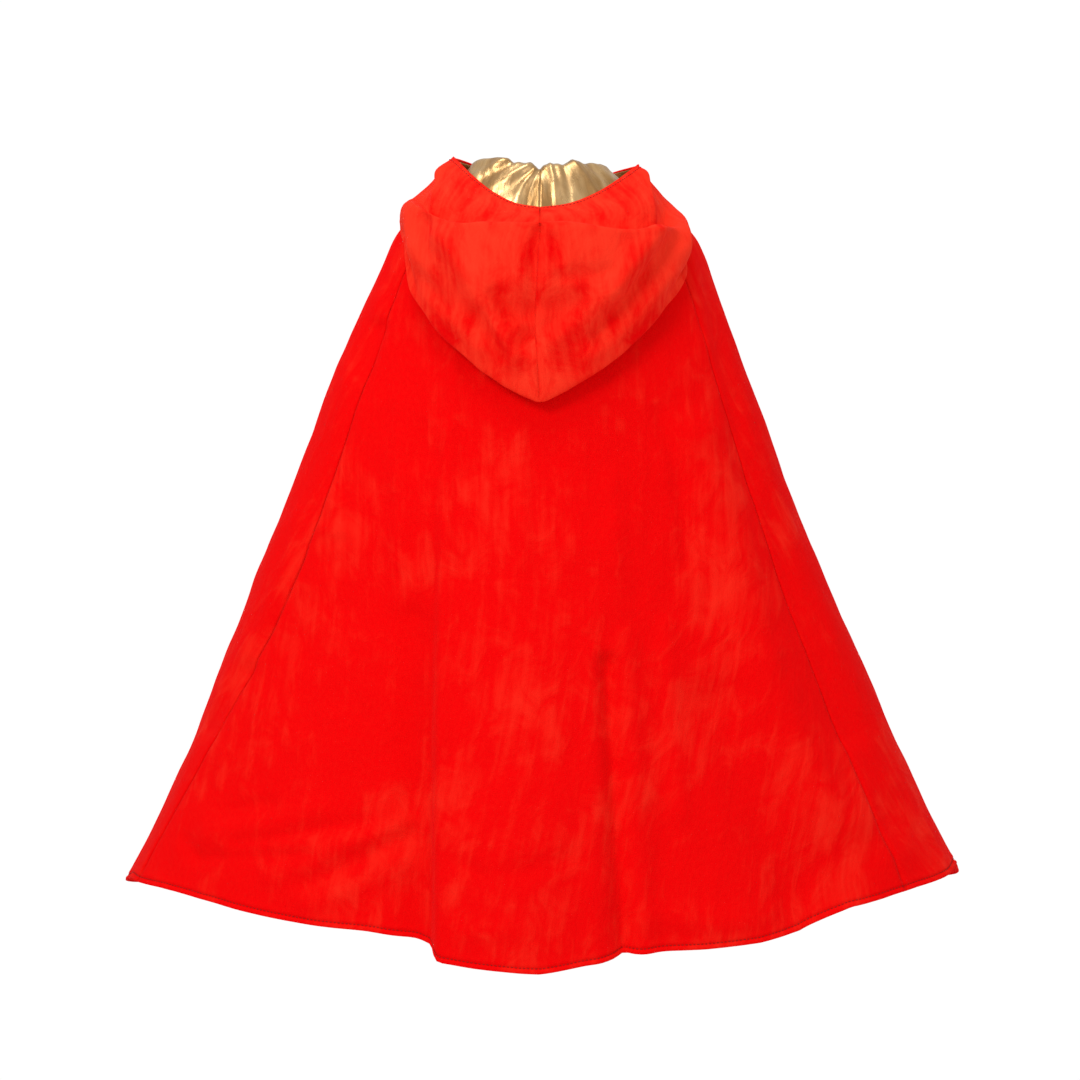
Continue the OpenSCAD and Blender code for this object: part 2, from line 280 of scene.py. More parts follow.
class CapeShape:
    """The cape's cloth. Azimuth a is in degrees from the centre back, v runs from neck to hem."""

    def __init__(self, sizes):
        self.sizes = sizes
        half_w = in_mm(sizes, "neck_half_width")
        half_d = in_mm(sizes, "neck_half_depth")
        side_drop = in_mm(sizes, "side_drop")
        self.side = self.path(half_w, 0, side_drop, lambda s: 28 + 41 * smooth((s - 50) / 75)
                              - 7 * smooth((s - side_drop + 130) / 110))
        self.back = self.path(half_d, 0, in_mm(sizes, "back_drop"), lambda s: 62 + 17 * smooth(s / 80))
        self.front = self.path(half_d, -in_mm(sizes, "throat_drop"), in_mm(sizes, "front_drop"),
                               lambda s: 72 + 7 * smooth((s - 40) / 90))

    @staticmethod
    def path(out, level, drop, fall):
        step = drop / PATH_STEPS
        rows = [(0, out, level)]
        for i in range(PATH_STEPS):
            slope = math.radians(fall(i * step))
            out += step * math.cos(slope)
            level -= step * math.sin(slope)
            rows.append(((i + 1) / PATH_STEPS, out, level))
        return np.array(rows)

    @staticmethod
    def look(path, v, column):
        return np.interp(v, path[:, 0], path[:, column])

    def half_gap(self, v):
        neck, hem = in_mm(self.sizes, "gap_at_neck"), in_mm(self.sizes, "gap_at_hem")
        return (neck + (hem - neck) * v) / 2

    def beside_edge(self, v, inset):
        """Azimuth of the line that keeps its distance from the front edge."""
        return 180 - np.degrees(np.arcsin((self.half_gap(v) + inset) / self.look(self.side, v, 1)))

    def seam(self, v, side):
        """Azimuth of a side seam: on one side it swings forward towards the hem."""
        return SEAM_AZIMUTH + (15 * smooth((v - 0.5) / 0.5) if side > 0 else 0 * v)

    def plain(self, a, v, out=0.0):
        """The cloth before its folds."""
        s, c = np.sin(np.radians(a)), np.cos(np.radians(a))
        behind = c >= 0
        x = self.look(self.side, v, 1) + self.trim(a, v)
        y = np.where(behind, self.look(self.back, v, 1), self.look(self.front, v, 1))
        z = np.where(behind, self.look(self.back, v, 2), self.look(self.front, v, 2))
        level = self.look(self.side, v, 2) * s * s + z * (1 - s * s)
        return np.stack([(x + out) * s, (y + out) * c, level - out / 4], axis=-1)

    @staticmethod
    def trim(a, v):
        """The two sides don't hang quite alike."""
        left = -4.2 * smooth(v / 0.1) - 5 * bump_at(v, 0.16, 0.06)
        right = -4.6 * bump_at(v, 0.5, 0.2) + 1.5 * smooth((v - 0.7) / 0.25)
        return np.where(turned_from(a, 0) >= 0, left, right) * smooth(np.abs(turned_from(a, 0)) / 30)

    def folds(self, a, v, rest):
        """How far the folds push the cloth out."""
        near = smooth((v - 0.12) / 0.88) ** 1.4
        out = near * sum(depth * bump_at(turned_from(a, at), 0, width) for at, width, depth in FLUTES)
        x, z = rest[..., 0], rest[..., 2]
        behind = smooth((rest[..., 1] + 10) / 40)
        hang = smooth((-z - 150) / 520) ** 1.3
        step_at = 88 - 2 * smooth((-z - 300) / 380)
        inside = smooth((step_at + 9 - x) / 18) * smooth((x + 112) / 130)
        sway = 30 * hang * inside - 9 * hang * bump_at(x, 140, 50)
        return out + behind * (sway + pushed(x, z, BACK_FOLDS))

    def cloth(self, a, v):
        """The cape's outside, with its folds and its pressed hem."""
        a, v = np.broadcast_arrays(np.asarray(a, float), np.asarray(v, float))
        rest = self.plain(a, v)
        out = self.sizes.fold_depth * self.folds(a, v, rest)
        points = self.plain(a, v, out)
        azimuths, lifts = zip(*HEM_LIFT)
        lift = np.interp(turned_from(a, 0), azimuths, lifts)
        points[..., 2] += lift * smooth((v - 0.45) / 0.55) ** 1.5
        wave = rumple(points, 75, 2.2, 1) + rumple(points, 26, 0.9, 2)
        wave += rumple(points * [1, 1, 0.25], 13, 0.5, 3)
        wave *= smooth(v / 0.12)
        return points + outward(a) * wave[..., None]

    def pressed(self, v):
        """The turned hem: a rolled edge and the groove that its stitches press."""
        up = (1 - v) * in_mm(self.sizes, "back_drop")
        groove = 0.9 * bump_at(up, HEM_SEAM, 0.9)
        return 0.7 * bump_at(up, 1.6, 1.4) - groove + 0.3 * bump_at(up, 7.5, 2)


# ---- The hood, thrown back ----

# Places across one half of the hood: 0 is the centre seam, 1 the pouch's side, 2 the throat
HOOD_COLUMNS = [0, 0.2, 0.4, 0.6, 0.72, 0.8, 0.88, 1, 1.15, 1.35, 1.6, 2]
AZIMUTH_PER_COLUMN = 84
# Rows of the mesh in each span from the face edge to the neck seam
HOOD_ROWS = [5, 7, 10, 9, 6, 14, 14, 12, 9, 7, 9, 9, 9, 8, 6, 4]
# The pouch's corner on each side: rim, band, valley and top fold, at its near and its far end
LEFT_CORNER = ([(92, 32, 4), (95, 41, -14), (101, 38, -32), (111, 59, -29)],
               [(89, 6, 8), (96, 11, -7), (109, 20, -20), (117, 38, -24)])
RIGHT_CORNER = ([(96, 30, 2), (99, 34, -14), (109, 44, -50), (119, 57, -49)],
                [(92, 8, 0), (100, 14, -14), (113, 24, -32), (127, 38, -42)])


class HoodShape:
    """One half of the hood, from the face edge over the pouch to the neck seam."""

    def __init__(self, cape, sizes, side):
        self.cape = cape
        self.side = side
        self.half_w = in_mm(sizes, "left_half_width" if side > 0 else "right_half_width")
        self.point = in_mm(sizes, "pouch_point")
        self.depth = in_mm(sizes, "pouch_depth")
        self.edge_half_w = 78 if side > 0 else 89
        self.edge_high = 19 if side > 0 else 12

    def face_edge(self, c):
        a = np.radians(AZIMUTH_PER_COLUMN * c)
        s2 = np.sin(a) ** 2
        behind = np.cos(a) >= 0
        y = np.where(behind, 80, 56) * np.cos(a)
        upright = s2 if behind else float(smooth((178 - AZIMUTH_PER_COLUMN * c) / 58))
        z = np.where(behind, -34, -12) * (1 - upright) + self.edge_high * upright
        return np.array([self.edge_half_w * np.sin(a), y, z])

    def neck_seam(self, c, up=0.0, out=0.0):
        a = math.radians(AZIMUTH_PER_COLUMN * c)
        x, y, z = self.cape.plain(AZIMUTH_PER_COLUMN * c, 0.0)
        return np.array([x + out * math.sin(a), y + out * math.cos(a), z + up])

    def on_cape(self, a, v, lift):
        """A point a little above the cape's cloth."""
        p = self.cape.plain(a, v)
        q = self.cape.plain(a, v + 0.01)
        r = self.cape.plain(a + 1.0, v)
        n = np.cross(r - p, p - q)
        n = n / np.linalg.norm(n)
        if n @ outward(a, 0.6) < 0:
            n = -n
        return p + lift * n

    def back_rest(self, x, z):
        """How far back the cape's outside is behind a place on the pouch."""
        side = np.interp(-z, -self.cape.side[:, 2], self.cape.side[:, 1]) + 8
        return np.interp(-z, -self.cape.back[:, 2], self.cape.back[:, 1]) * math.sqrt(
            max(0.0, 1 - (x / side) ** 2))

    def outline(self, x):
        return -44 + (self.point + 44) * (1 - min(1.0, x / (self.half_w + 2)) ** 1.11) ** 0.4545

    def profile(self, c):
        """The control points of one column, from the face edge to the neck seam."""
        if c <= 0.85:
            return self.pouch_profile(c)
        if c <= 1.05:
            return self.corner_profile(c)
        return self.shoulder_profile(c)

    def pouch_profile(self, c):
        x = self.half_w * c
        edge = self.face_edge(c)
        rise = smooth((c - 0.5) / 0.5)
        if self.side > 0:
            top_z = -50 + 26 * rise ** 1.5
        else:
            top_z = -50 + 3 * rise ** 1.5 - 6 * bump_at(c, 0.62, 0.3)
        deep = self.depth * math.sqrt(1 - c * c)
        top_y = self.back_rest(x, top_z) + 6 + deep
        out_z = self.outline(x)
        out_y = self.back_rest(x, out_z) + 5 + deep * 0.26
        valley = np.array([x * (1.0 - 0.06 * c), top_y - 15 - 3 * c, top_z - 9])
        band_x = edge[0] * 0.45 + x * 0.55 * (1 + 0.12 * bump_at(c, 0.8, 0.2))
        band = np.array([band_x, (edge[1] + valley[1]) / 2 + 3, (edge[2] + valley[2]) / 2 + 2])
        rim = edge + (band - edge) * 0.28 + np.array([0.8 * c, 1.6, 0])
        top = np.array([x, top_y, top_z])
        face = [np.array([x, top_y + 4.0 * (1 - c) + 1, top_z - 0.10 * (top_z - out_z)])]
        for share in (0.36, 0.64, 0.86):
            plump = (7 - 3 * c) * math.sin(math.pi * share ** 0.8)
            y = top_y + (out_y - top_y) * share ** 1.5 + plump
            face.append(np.array([x, y, top_z + (out_z - top_z) * share]))
        fold = np.array([x * 0.995, out_y, out_z])
        rest = []
        for share in (0.06, 0.4, 0.8):
            z = out_z + (-60 - out_z) * share
            lift = 5 + (2 if share < 0.1 else 0)
            rest.append(np.array([x * (1 - 0.06 * share), self.back_rest(x, z) + lift, z]))
        join = AZIMUTH_PER_COLUMN * c * 0.8
        rise = self.on_cape(join, 0.045, 5)
        return [edge, rim, band, valley, top] + face + [fold] + rest + [rise, *self.neck_roll(c)]

    def neck_roll(self, c):
        """The gathered stand of the hood on the neck seam."""
        stand = float(smooth(c / 0.5) * smooth((2.1 - c) / 0.9))
        high = -2.5 + (10 if self.side > 0 else 5) * stand
        out = 8 - 5.2 * float(smooth((c - 1.4) / 0.5))
        low = min(1, high - 1)
        return [self.neck_seam(c, high * 0.75, out), self.neck_seam(c, high, out * 0.45),
                self.neck_seam(c, low, 1)]

    def corner_profile(self, c):
        """The pouch's side, where the fabric turns forward over the shoulder."""
        bulge_out = 6 + 0.4 * (self.half_w - 126)
        ear = -22 if self.side > 0 else -38
        t = (c - 0.88) / 0.12
        edge = self.face_edge(c)
        near, far = LEFT_CORNER if self.side > 0 else RIGHT_CORNER
        heads = [np.array(p) * (1 - t) + np.array(q) * t for p, q in zip(near, far)]
        low = self.outline(self.half_w * 0.9) * (1 - t) + (ear - 46) * t
        face = []
        top = heads[3]
        for share, bulge in ((0.12, 5), (0.38, 8), (0.64, 8), (0.86, 5)):
            face.append(np.array([top[0] + bulge_out * math.sin(math.pi * min(1, share + 0.15)),
                                  top[1] + bulge + 4 * share, top[2] + (low - top[2]) * share]))
        fold = np.array([top[0] + 3, top[1] + 8, low])
        inner = [np.array([top[0] - 1, top[1] + 2, low + 3]),
                 np.array([top[0] - 8, top[1] - 5, low + 9 + 4 * t]),
                 self.on_cape(72 + 8 * t, 0.09, 2.5)]
        rise = self.on_cape(AZIMUTH_PER_COLUMN * c, 0.045, 3)
        return [edge, *heads, *face, fold, *inner, rise, *self.neck_roll(c)]

    def shoulder_profile(self, c):
        """The fabric beside and in front of the neck: over and under, back to the seam."""
        a = AZIMUTH_PER_COLUMN * c
        edge = self.face_edge(c)
        reach = float(np.interp(c, [1.05, 1.15, 1.35, 1.6, 1.8, 2],
                                [0.125, 0.118, 0.092, 0.048, 0.022, 0.010]))
        lift = float(np.interp(c, [1.05, 1.35, 1.6, 2], [12.5, 12.5, 11, 9]))
        outer = self.on_cape(a, reach, lift * 0.55)
        top = self.on_cape(a, reach * 0.86, lift)
        over = []
        for share in (0.16, 0.42, 0.68, 0.88):
            p = edge + (top - edge) * share
            hump = 4 * math.sin(math.pi * share)
            hump *= float(smooth((2.15 - c) / 0.8) * smooth((c - 1.1) / 0.3))
            over.append(p + hump * outward(a, 0.5))
        turn = [top + (outer - top) * share + np.array([0, 0, 1.5 * math.sin(math.pi * share)])
                for share in (0.15, 0.45, 0.7, 0.9)]
        fold = self.on_cape(a, reach, 3.4)
        inner = [self.on_cape(a, reach * share, 2.6) for share in (0.9, 0.7, 0.5)]
        rise = self.on_cape(a, reach * 0.28, 2.8)
        return [edge, *over, *turn, fold, *inner, rise, *self.neck_roll(c)]

    def surface(self, columns, rows_per_span):
        """The velvet as a grid of points, face edge first."""
        net = np.array([self.profile(c) for c in HOOD_COLUMNS])
        across = spline(HOOD_COLUMNS, net, columns)
        spans = len(rows_per_span)
        rows = np.concatenate([np.arange(n) / n + k for k, n in enumerate(rows_per_span)] + [[spans]])
        grid = spline(np.arange(spans + 1), across.transpose(1, 0, 2), rows)
        return grid, rows


def outer_normals(grid):
    """Unit normals of a half of the hood, turned to the velvet's outside."""
    normal = normals_of(grid)
    return -normal if normal[40, 8, 1] < 0 else normal


def hood_grid(shape):
    """The velvet of one half with its folds, its outward normals, its rows and its columns."""
    columns = np.concatenate([np.linspace(0, 1.1, 74), np.linspace(1.1, 2, 40)[1:]])
    grid, rows = shape.surface(columns, HOOD_ROWS)
    normal = outer_normals(grid)
    x, z = grid[..., 0] * shape.side, grid[..., 2]
    facing = smooth((normal[..., 1] - 0.1) / 0.5) * ((rows > 4) & (rows < 10))[:, None]
    push = facing * pushed(x, z, POUCH_FOLDS)
    beside_seam = np.exp(-(np.arange(len(columns)) / 1.1) ** 2)[None, :]
    seam = -1.6 * beside_seam * ((rows > 0.2) & (rows < 13))[:, None]
    mirrored = grid * [shape.side, 1, 1]
    wave = rumple(mirrored, 48, 2.0, 4) + rumple(mirrored, 17, 0.8, 5)
    wave *= (smooth(rows / 1.5) * smooth((rows[-1] - rows) / 3))[:, None]
    grid = grid + normal * (push + seam + wave)[..., None]
    wander = 3.2 * np.sin((z + 60) / 48) * smooth((-z - 50) / 30)
    wander *= np.exp(-(grid[..., 0] / 45) ** 2)
    grid[..., 0] += wander * (-shape.side)
    grid[..., 0] *= shape.side
    return grid, outer_normals(grid), rows, columns


# ---- Making meshes ----

def grid_piece(name, points, material, thickness, facing):
    """A cloth sheet: a grid whose corners are moved to points, rows first, in millimetres.

    The faces are turned to the side that facing gives for a place on the sheet.
    """
    rows, cols = points.shape[0] - 1, points.shape[1] - 1
    bm = bmesh.new()
    bmesh.ops.create_grid(bm, x_segments=cols, y_segments=rows, size=1)
    places = np.array([v.co for v in bm.verts])
    i = np.rint((1 - places[:, 1]) / 2 * rows).astype(int)
    j = np.rint((places[:, 0] + 1) / 2 * cols).astype(int)
    down = np.cumsum(np.linalg.norm(np.diff(points, axis=0, prepend=points[:1]), axis=2), axis=0)
    steps = np.linalg.norm(np.diff(points, axis=1, prepend=points[:, :1]), axis=2)
    across = np.cumsum(steps, axis=1)
    across = across - across[:, cols // 2][:, None]
    layer = bm.loops.layers.uv.new("Cloth")
    for vert, row, col in zip(bm.verts, i, j):
        vert.co = Vector(points[row, col]) * MM
    bm.verts.index_update()
    for face in bm.faces:
        for loop in face.loops:
            k = loop.vert.index
            loop[layer].uv = (across[i[k], j[k]] * MM, -down[i[k], j[k]] * MM)
        face.smooth = True
    bm.normal_update()
    seen = sum((f.normal.dot(Vector(facing(f.calc_center_median()))) for f in bm.faces), 0.0)
    if seen < 0:
        bmesh.ops.reverse_faces(bm, faces=bm.faces[:])
    obj = finish_mesh(name, bm, material)
    wall = obj.modifiers.new("Thickness", "SOLIDIFY")
    wall.thickness = thickness
    wall.offset = -1
    wall.use_even_offset = False
    return obj


def finish_mesh(name, bm, material):
    """Turns the mesh being built into an object with the named material."""
    mesh = bpy.data.meshes.new(name)
    bm.to_mesh(mesh)
    bm.free()
    mesh.materials.append(bpy.data.materials[material])
    obj = bpy.data.objects.new(name, mesh)
    bpy.context.scene.collection.objects.link(obj)
    return obj


def flat_size(points):
    """Widest row, longest column and area of a grid of points, in metres."""
    across = np.linalg.norm(np.diff(points, axis=1), axis=2).sum(axis=1).max() * MM
    down = np.linalg.norm(np.diff(points, axis=0), axis=2).sum(axis=0).max() * MM
    a = points[1:, 1:] - points[:-1, :-1]
    b = points[1:, :-1] - points[:-1, 1:]
    area = 0.5 * np.linalg.norm(np.cross(a, b), axis=2).sum() * MM * MM
    return (float(across), float(down)), float(area)


def placed(obj, body, node):
    """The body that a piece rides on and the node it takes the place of."""
    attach(obj, body)
    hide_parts(node)


def declare_sheet(points):
    flat, area = flat_size(points)
    area = min(area, flat[0] * flat[1])


def stitched(name, lines):
    """Rows of stitches, each a small rounded bar, laid along lines of points."""
    stitch, gap, thick = 2.5, 0.9, 0.36
    bm = bmesh.new()
    for line in lines:
        line = np.asarray(line)
        run = np.concatenate([[0], np.cumsum(np.linalg.norm(np.diff(line, axis=0), axis=1))])
        count = int(run[-1] / (stitch + gap))
        for k in range(count):
            start = k * (stitch + gap) + gap / 2
            ends = [np.array([np.interp(s, run, line[:, d]) for d in range(3)])
                    for s in (start, start + stitch)]
            middle = Vector((ends[0] + ends[1]) / 2) * MM
            along = Vector(ends[1] - ends[0]).normalized()
            turn = along.to_track_quat("X", "Z").to_matrix().to_4x4()
            size = Matrix.Diagonal((stitch / 2 * MM, thick * MM, thick * MM, 1))
            bmesh.ops.create_uvsphere(bm, u_segments=6, v_segments=4, radius=1,
                                      matrix=Matrix.Translation(middle) @ turn @ size)
    for face in bm.faces:
        face.smooth = True
    return finish_mesh(name, bm, THREAD)


# ---- Materials ----

VELVET = "Red velvet"
# The hood's velvet: its brushed-up pile is shown as a lighter copy with more painted sheen
HOOD_VELVET = "Red velvet, brushed up"
LINING = "Gold lining"
THREAD = "Sewing thread"
BINDING = "Twill binding"
TAPE = "Tape ground"
HOOKS = "Hooks and loops"
LABEL = "Satin label"


def shade(colour_in, share):
    return [min(1, share * value) for value in colour_in]


def feed(tree, socket, value):
    """Gives an input another node's output or a plain value."""
    if isinstance(value, bpy.types.NodeSocket):
        tree.links.new(value, socket)
    else:
        socket.default_value = value


def feed_all(tree, node, values):
    for name, value in values.items():
        feed(tree, node.inputs[name], value)


def number(tree, operation, a, b=0.5):
    """A sum with one or two numbers, each a socket or a plain value."""
    node = tree.nodes.new("ShaderNodeMath")
    node.operation = operation
    for socket, value in zip(node.inputs, (a, b)):
        feed(tree, socket, value)
    return node.outputs[0]


def weighted(tree, *parts):
    """The sum of some values, each times its share."""
    scaled = [number(tree, "MULTIPLY", value, share) for value, share in parts]
    total = scaled[0]
    for part in scaled[1:]:
        total = number(tree, "ADD", total, part)
    return total


def ranged(tree, value, low, high, to_low=0.0, to_high=1.0):
    node = tree.nodes.new("ShaderNodeMapRange")
    node.interpolation_type = "SMOOTHSTEP"
    feed_all(tree, node, {"Value": value, "From Min": low, "From Max": high,
                          "To Min": to_low, "To Max": to_high})
    return node.outputs["Result"]


def noise_at(tree, vector, scale, stretch=(1, 1, 1), detail=2.0, roughness=0.5, distortion=0.0):
    mapping = tree.nodes.new("ShaderNodeMapping")
    feed_all(tree, mapping, {"Vector": vector, "Scale": stretch})
    node = tree.nodes.new("ShaderNodeTexNoise")
    feed_all(tree, node, {"Vector": mapping.outputs[0], "Scale": scale, "Detail": detail,
                          "Roughness": roughness, "Distortion": distortion})
    return node.outputs["Fac"]


def new_group(name, inputs, outputs):
    tree = bpy.data.node_groups.new(name, "ShaderNodeTree")
    for socket, kind, value in inputs:
        made = tree.interface.new_socket(socket, in_out="INPUT", socket_type=kind)
        if value is not None:
            made.default_value = value
    for socket in outputs:
        tree.interface.new_socket(socket, in_out="OUTPUT", socket_type="NodeSocketFloat")
    return tree, tree.nodes.new("NodeGroupInput"), tree.nodes.new("NodeGroupOutput")


def nap_group():
    """Plush pile: patches brushed up or down, long strokes and the pile's own grain. The brushed-up
    share is also where the base colour gets its painted sheen.
    """
    tree, given, made = new_group("Plush nap", [
        ("Vector", "NodeSocketVector", None),
        ("Patches", "NodeSocketFloat", 30.0),
        ("Strokes", "NodeSocketFloat", 60.0),
        ("Lift", "NodeSocketFloat", 0.0)], ["Brushed nap and painted sheen", "Grain"])
    vector = given.outputs["Vector"]
    broad = noise_at(tree, vector, 7.0, detail=2.0, distortion=0.5)
    patch = noise_at(tree, vector, given.outputs["Patches"], (1, 0.75, 1), 3.5, 0.62, 0.8)
    stroke = noise_at(tree, vector, given.outputs["Strokes"], (1, 0.09, 1), 3.0, 0.6, 0.2)
    fleck = noise_at(tree, vector, 330.0, (1, 0.6, 1), 2.0, 0.6)
    mix = weighted(tree, (broad, 0.42), (patch, 0.34), (stroke, 0.24))
    # Mask of brushed-up patches, strokes and flecks: where the velvet's painted sheen goes
    mask = ranged(tree, number(tree, "ADD", mix, given.outputs["Lift"]), 0.46, 0.66)
    mask = weighted(tree, (mask, 0.92), (ranged(tree, fleck, 0.35, 0.7), 0.08))
    grain = noise_at(tree, vector, 1500.0, (1, 0.55, 1), 1.5, 0.5)
    grain = weighted(tree, (grain, 0.55), (patch, 1.6), (stroke, 0.8))
    feed_all(tree, made, {"Brushed nap and painted sheen": mask, "Grain": grain})
    return tree


def weave_group():
    """Threads over and under, at a given count, with a slight unevenness."""
    tree, given, made = new_group("Woven threads", [
        ("Vector", "NodeSocketVector", None),
        ("Threads", "NodeSocketFloat", 1200.0),
        ("Unevenness", "NodeSocketFloat", 0.3)], ["Height", "Tone"])
    split = tree.nodes.new("ShaderNodeSeparateXYZ")
    tree.links.new(given.outputs["Vector"], split.inputs[0])
    waves = []
    for axis in ("X", "Y"):
        turns = number(tree, "MULTIPLY", split.outputs[axis], given.outputs["Threads"])
        waves.append(number(tree, "SINE", number(tree, "MULTIPLY", turns, math.pi)))
    cross = number(tree, "MULTIPLY", waves[0], waves[1])
    uneven = noise_at(tree, given.outputs["Vector"], 90.0, detail=3.0)
    height = weighted(tree, (cross, 0.5), (uneven, given.outputs["Unevenness"]))
    feed_all(tree, made, {"Height": height, "Tone": ranged(tree, height, -0.4, 0.8)})
    return tree


def base_material(name):
    material = bpy.data.materials.new(name)
    material.use_nodes = True
    tree = material.node_tree
    tree.nodes.clear()
    shader = tree.nodes.new("ShaderNodeBsdfPrincipled")
    output = tree.nodes.new("ShaderNodeOutputMaterial")
    tree.links.new(shader.outputs[0], output.inputs["Surface"])
    return material, tree, shader


def group_node(tree, group, vector, **values):
    node = tree.nodes.new("ShaderNodeGroup")
    node.node_tree = group
    feed_all(tree, node, {"Vector": vector, **values})
    return node


def tint(tree, mask, low, high):
    mix = tree.nodes.new("ShaderNodeMix")
    mix.data_type = "RGBA"
    feed_all(tree, mix, {"Factor": mask, "A": (*low, 1), "B": (*high, 1)})
    return mix.outputs["Result"]


def bumped(tree, shader, height, distance, strength=1.0):
    node = tree.nodes.new("ShaderNodeBump")
    feed_all(tree, node, {"Height": height, "Distance": distance, "Strength": strength})
    feed_all(tree, shader, {"Normal": node.outputs[0]})


def cloth_map(tree):
    node = tree.nodes.new("ShaderNodeUVMap")
    node.uv_map = "Cloth"
    return node.outputs[0]


def object_map(tree):
    return tree.nodes.new("ShaderNodeTexCoord").outputs["Object"]


def velvet_material(look, nap, name, lift, share):
    material, tree, shader = base_material(name)
    plush = group_node(tree, nap, cloth_map(tree), Patches=38.0, Strokes=110.0, Lift=lift)
    # Share of painted sheen: how far each brushed-up patch turns to the lighter, oranger red
    brushed = number(tree, "MULTIPLY", plush.outputs["Brushed nap and painted sheen"], share)
    feed_all(tree, shader, {
        "Base Color": tint(tree, brushed, look.velvet_deep, look.velvet_painted_sheen),
        "Roughness": ranged(tree, plush.outputs["Brushed nap and painted sheen"], 0, 1, 0.92, 0.72),
        "Specular IOR Level": 0.03, "Sheen Weight": 0.22, "Sheen Roughness": 0.32,
        "Sheen Tint": (1.0, 0.06, 0.05, 1)})
    bumped(tree, shader, plush.outputs["Grain"], 0.0011, 0.75)
    return material


def lining_material(look, weave):
    material, tree, shader = base_material(LINING)
    vector = cloth_map(tree)
    crease = noise_at(tree, vector, 42.0, (1, 0.22, 1), 4.0, 0.62, 0.7)
    small = noise_at(tree, vector, 190.0, (1, 0.5, 1), 3.0, 0.55, 0.4)
    woven = group_node(tree, weave, vector, Threads=2600.0, Unevenness=0.15)
    # Painted shade: the crease noise that bumps the lining also darkens its colour towards deep brown
    mask = ranged(tree, crease, 0.34, 0.62)
    feed_all(tree, shader, {
        "Base Color": tint(tree, mask, look.gold_painted_shade, look.gold),
        "Roughness": ranged(tree, small, 0.3, 0.7, 0.26, 0.38), "Metallic": 0.92})
    height = weighted(tree, (crease, 1.0), (small, 0.10), (woven.outputs["Height"], 0.015))
    bumped(tree, shader, height, 0.0018, 0.7)
    return material


def woven_material(name, weave, low, high, threads, roughness, sheen=0.1, vector=cloth_map):
    material, tree, shader = base_material(name)
    cloth = group_node(tree, weave, vector(tree), Threads=threads)
    tone = cloth.outputs["Tone"]
    feed_all(tree, shader, {
        "Base Color": tint(tree, tone, low, high),
        "Roughness": ranged(tree, tone, 0, 1, roughness + 0.1, roughness),
        "Specular IOR Level": 0.2, "Sheen Weight": sheen})
    bumped(tree, shader, cloth.outputs["Height"], 0.0003, 0.7)
    return material


def thread_material(look):
    material, tree, shader = base_material(THREAD)
    wave = tree.nodes.new("ShaderNodeTexWave")
    wave.bands_direction = "DIAGONAL"
    feed_all(tree, wave, {"Vector": object_map(tree), "Scale": 700.0, "Distortion": 1.0})
    twist = wave.outputs["Fac"]
    feed_all(tree, shader, {
        "Base Color": tint(tree, twist, shade(look.thread, 0.6), look.thread),
        "Roughness": ranged(tree, twist, 0, 1, 0.7, 0.5), "Specular IOR Level": 0.2})
    bumped(tree, shader, twist, 0.0001, 0.6)
    return material


def make_materials():
    look = bpy.context.scene.cloth_look
    nap, weave = nap_group(), weave_group()
    # The cape's velvet has a small share of painted sheen; the hood's copy a larger share, so the hood
    # is lighter
    velvet_material(look, nap, VELVET, -0.01, 0.45)
    velvet_material(look, nap, HOOD_VELVET, 0.08, 1.0)
    lining_material(look, weave)
    thread_material(look)
    woven_material(BINDING, weave, shade(look.binding, 0.6), look.binding, 1100.0, 0.7)
    woven_material(TAPE, weave, shade(look.tape, 0.6), look.tape, 900.0, 0.75)
    woven_material(HOOKS, weave, shade(look.tape, 0.8), shade(look.tape, 1.2), 2000.0, 0.45,
                   vector=object_map)
    woven_material(LABEL, weave, shade(look.label, 0.9), look.label, 1500.0, 0.42, 0.2)


# ---- Lines that the pieces share ----

# Distances above the hem of the fine rows that carry its stitches' groove
FINE_ROWS = [11, 9, 7.6, 6.4, 5.6, 4.9, 4.2, 3.4, 2.6, 1.8, 1.0, 0.4, 0.0]
# Each panel with the points along a row of its velvet and of its lining, and how far in from
# its edges the lining stops, as a share of its width
PANELS = [("back", 170, 110, 0.001), ("left_front", 130, 84, 0.012), ("right_front", 130, 84, 0.012)]
# Rows from neck to hem
PANEL_ROWS, QUICK_PANEL_ROWS, LINING_ROWS = 170, 60, 110
# How far the lining is inside the velvet
LINING_GAP = 1.3


def panel_rows(count, bottom=1.0):
    """Places from neck to hem, a little closer together over the shoulder."""
    return bottom * (np.linspace(0, 1, count) ** 1.08)


def hem_rows(cape, count):
    """Rows of the velvet, with the fine rows at the hem."""
    plain = panel_rows(count)
    fine = 1 - np.array(FINE_ROWS) / in_mm(cape.sizes, "back_drop")
    return np.concatenate([plain[plain < fine[0] - 0.002], fine])


def panel_points(cape, place, columns, rows, out=0.0, margin=0.0):
    """The cloth of one panel as a grid of points, a distance out from the cape's outside."""
    v = rows[:, None]
    u = np.linspace(margin, 1 - margin, columns)[None, :]
    if place == "back":
        start, end = -cape.seam(v, -1), cape.seam(v, 1)
    elif place == "left_front":
        start, end = cape.seam(v, 1), cape.beside_edge(v, 0.0)
    else:
        start, end = -cape.beside_edge(v, 0.0), -cape.seam(v, -1)
    a = start + (end - start) * u
    points = cape.cloth(a, np.broadcast_to(v, a.shape))
    normal = normals_of(points)
    normal *= np.sign((normal * outward(a, 0.3)).sum(axis=2, keepdims=True))
    push = out + (cape.pressed(v) if out == 0 else 0 * v)
    width = np.linalg.norm(np.diff(points, axis=1), axis=2).sum(axis=1)[:, None]
    edge = np.minimum(u, 1 - u) * width
    if out == 0:
        push = push - 1.1 * bump_at(edge, 0, 1.6)
    return points + normal * (push * np.ones_like(a))[..., None]


def away_from_axis(p):
    return (p.x, p.y, 0.1)


def to_axis(p):
    return (-p.x, -p.y, -0.02)


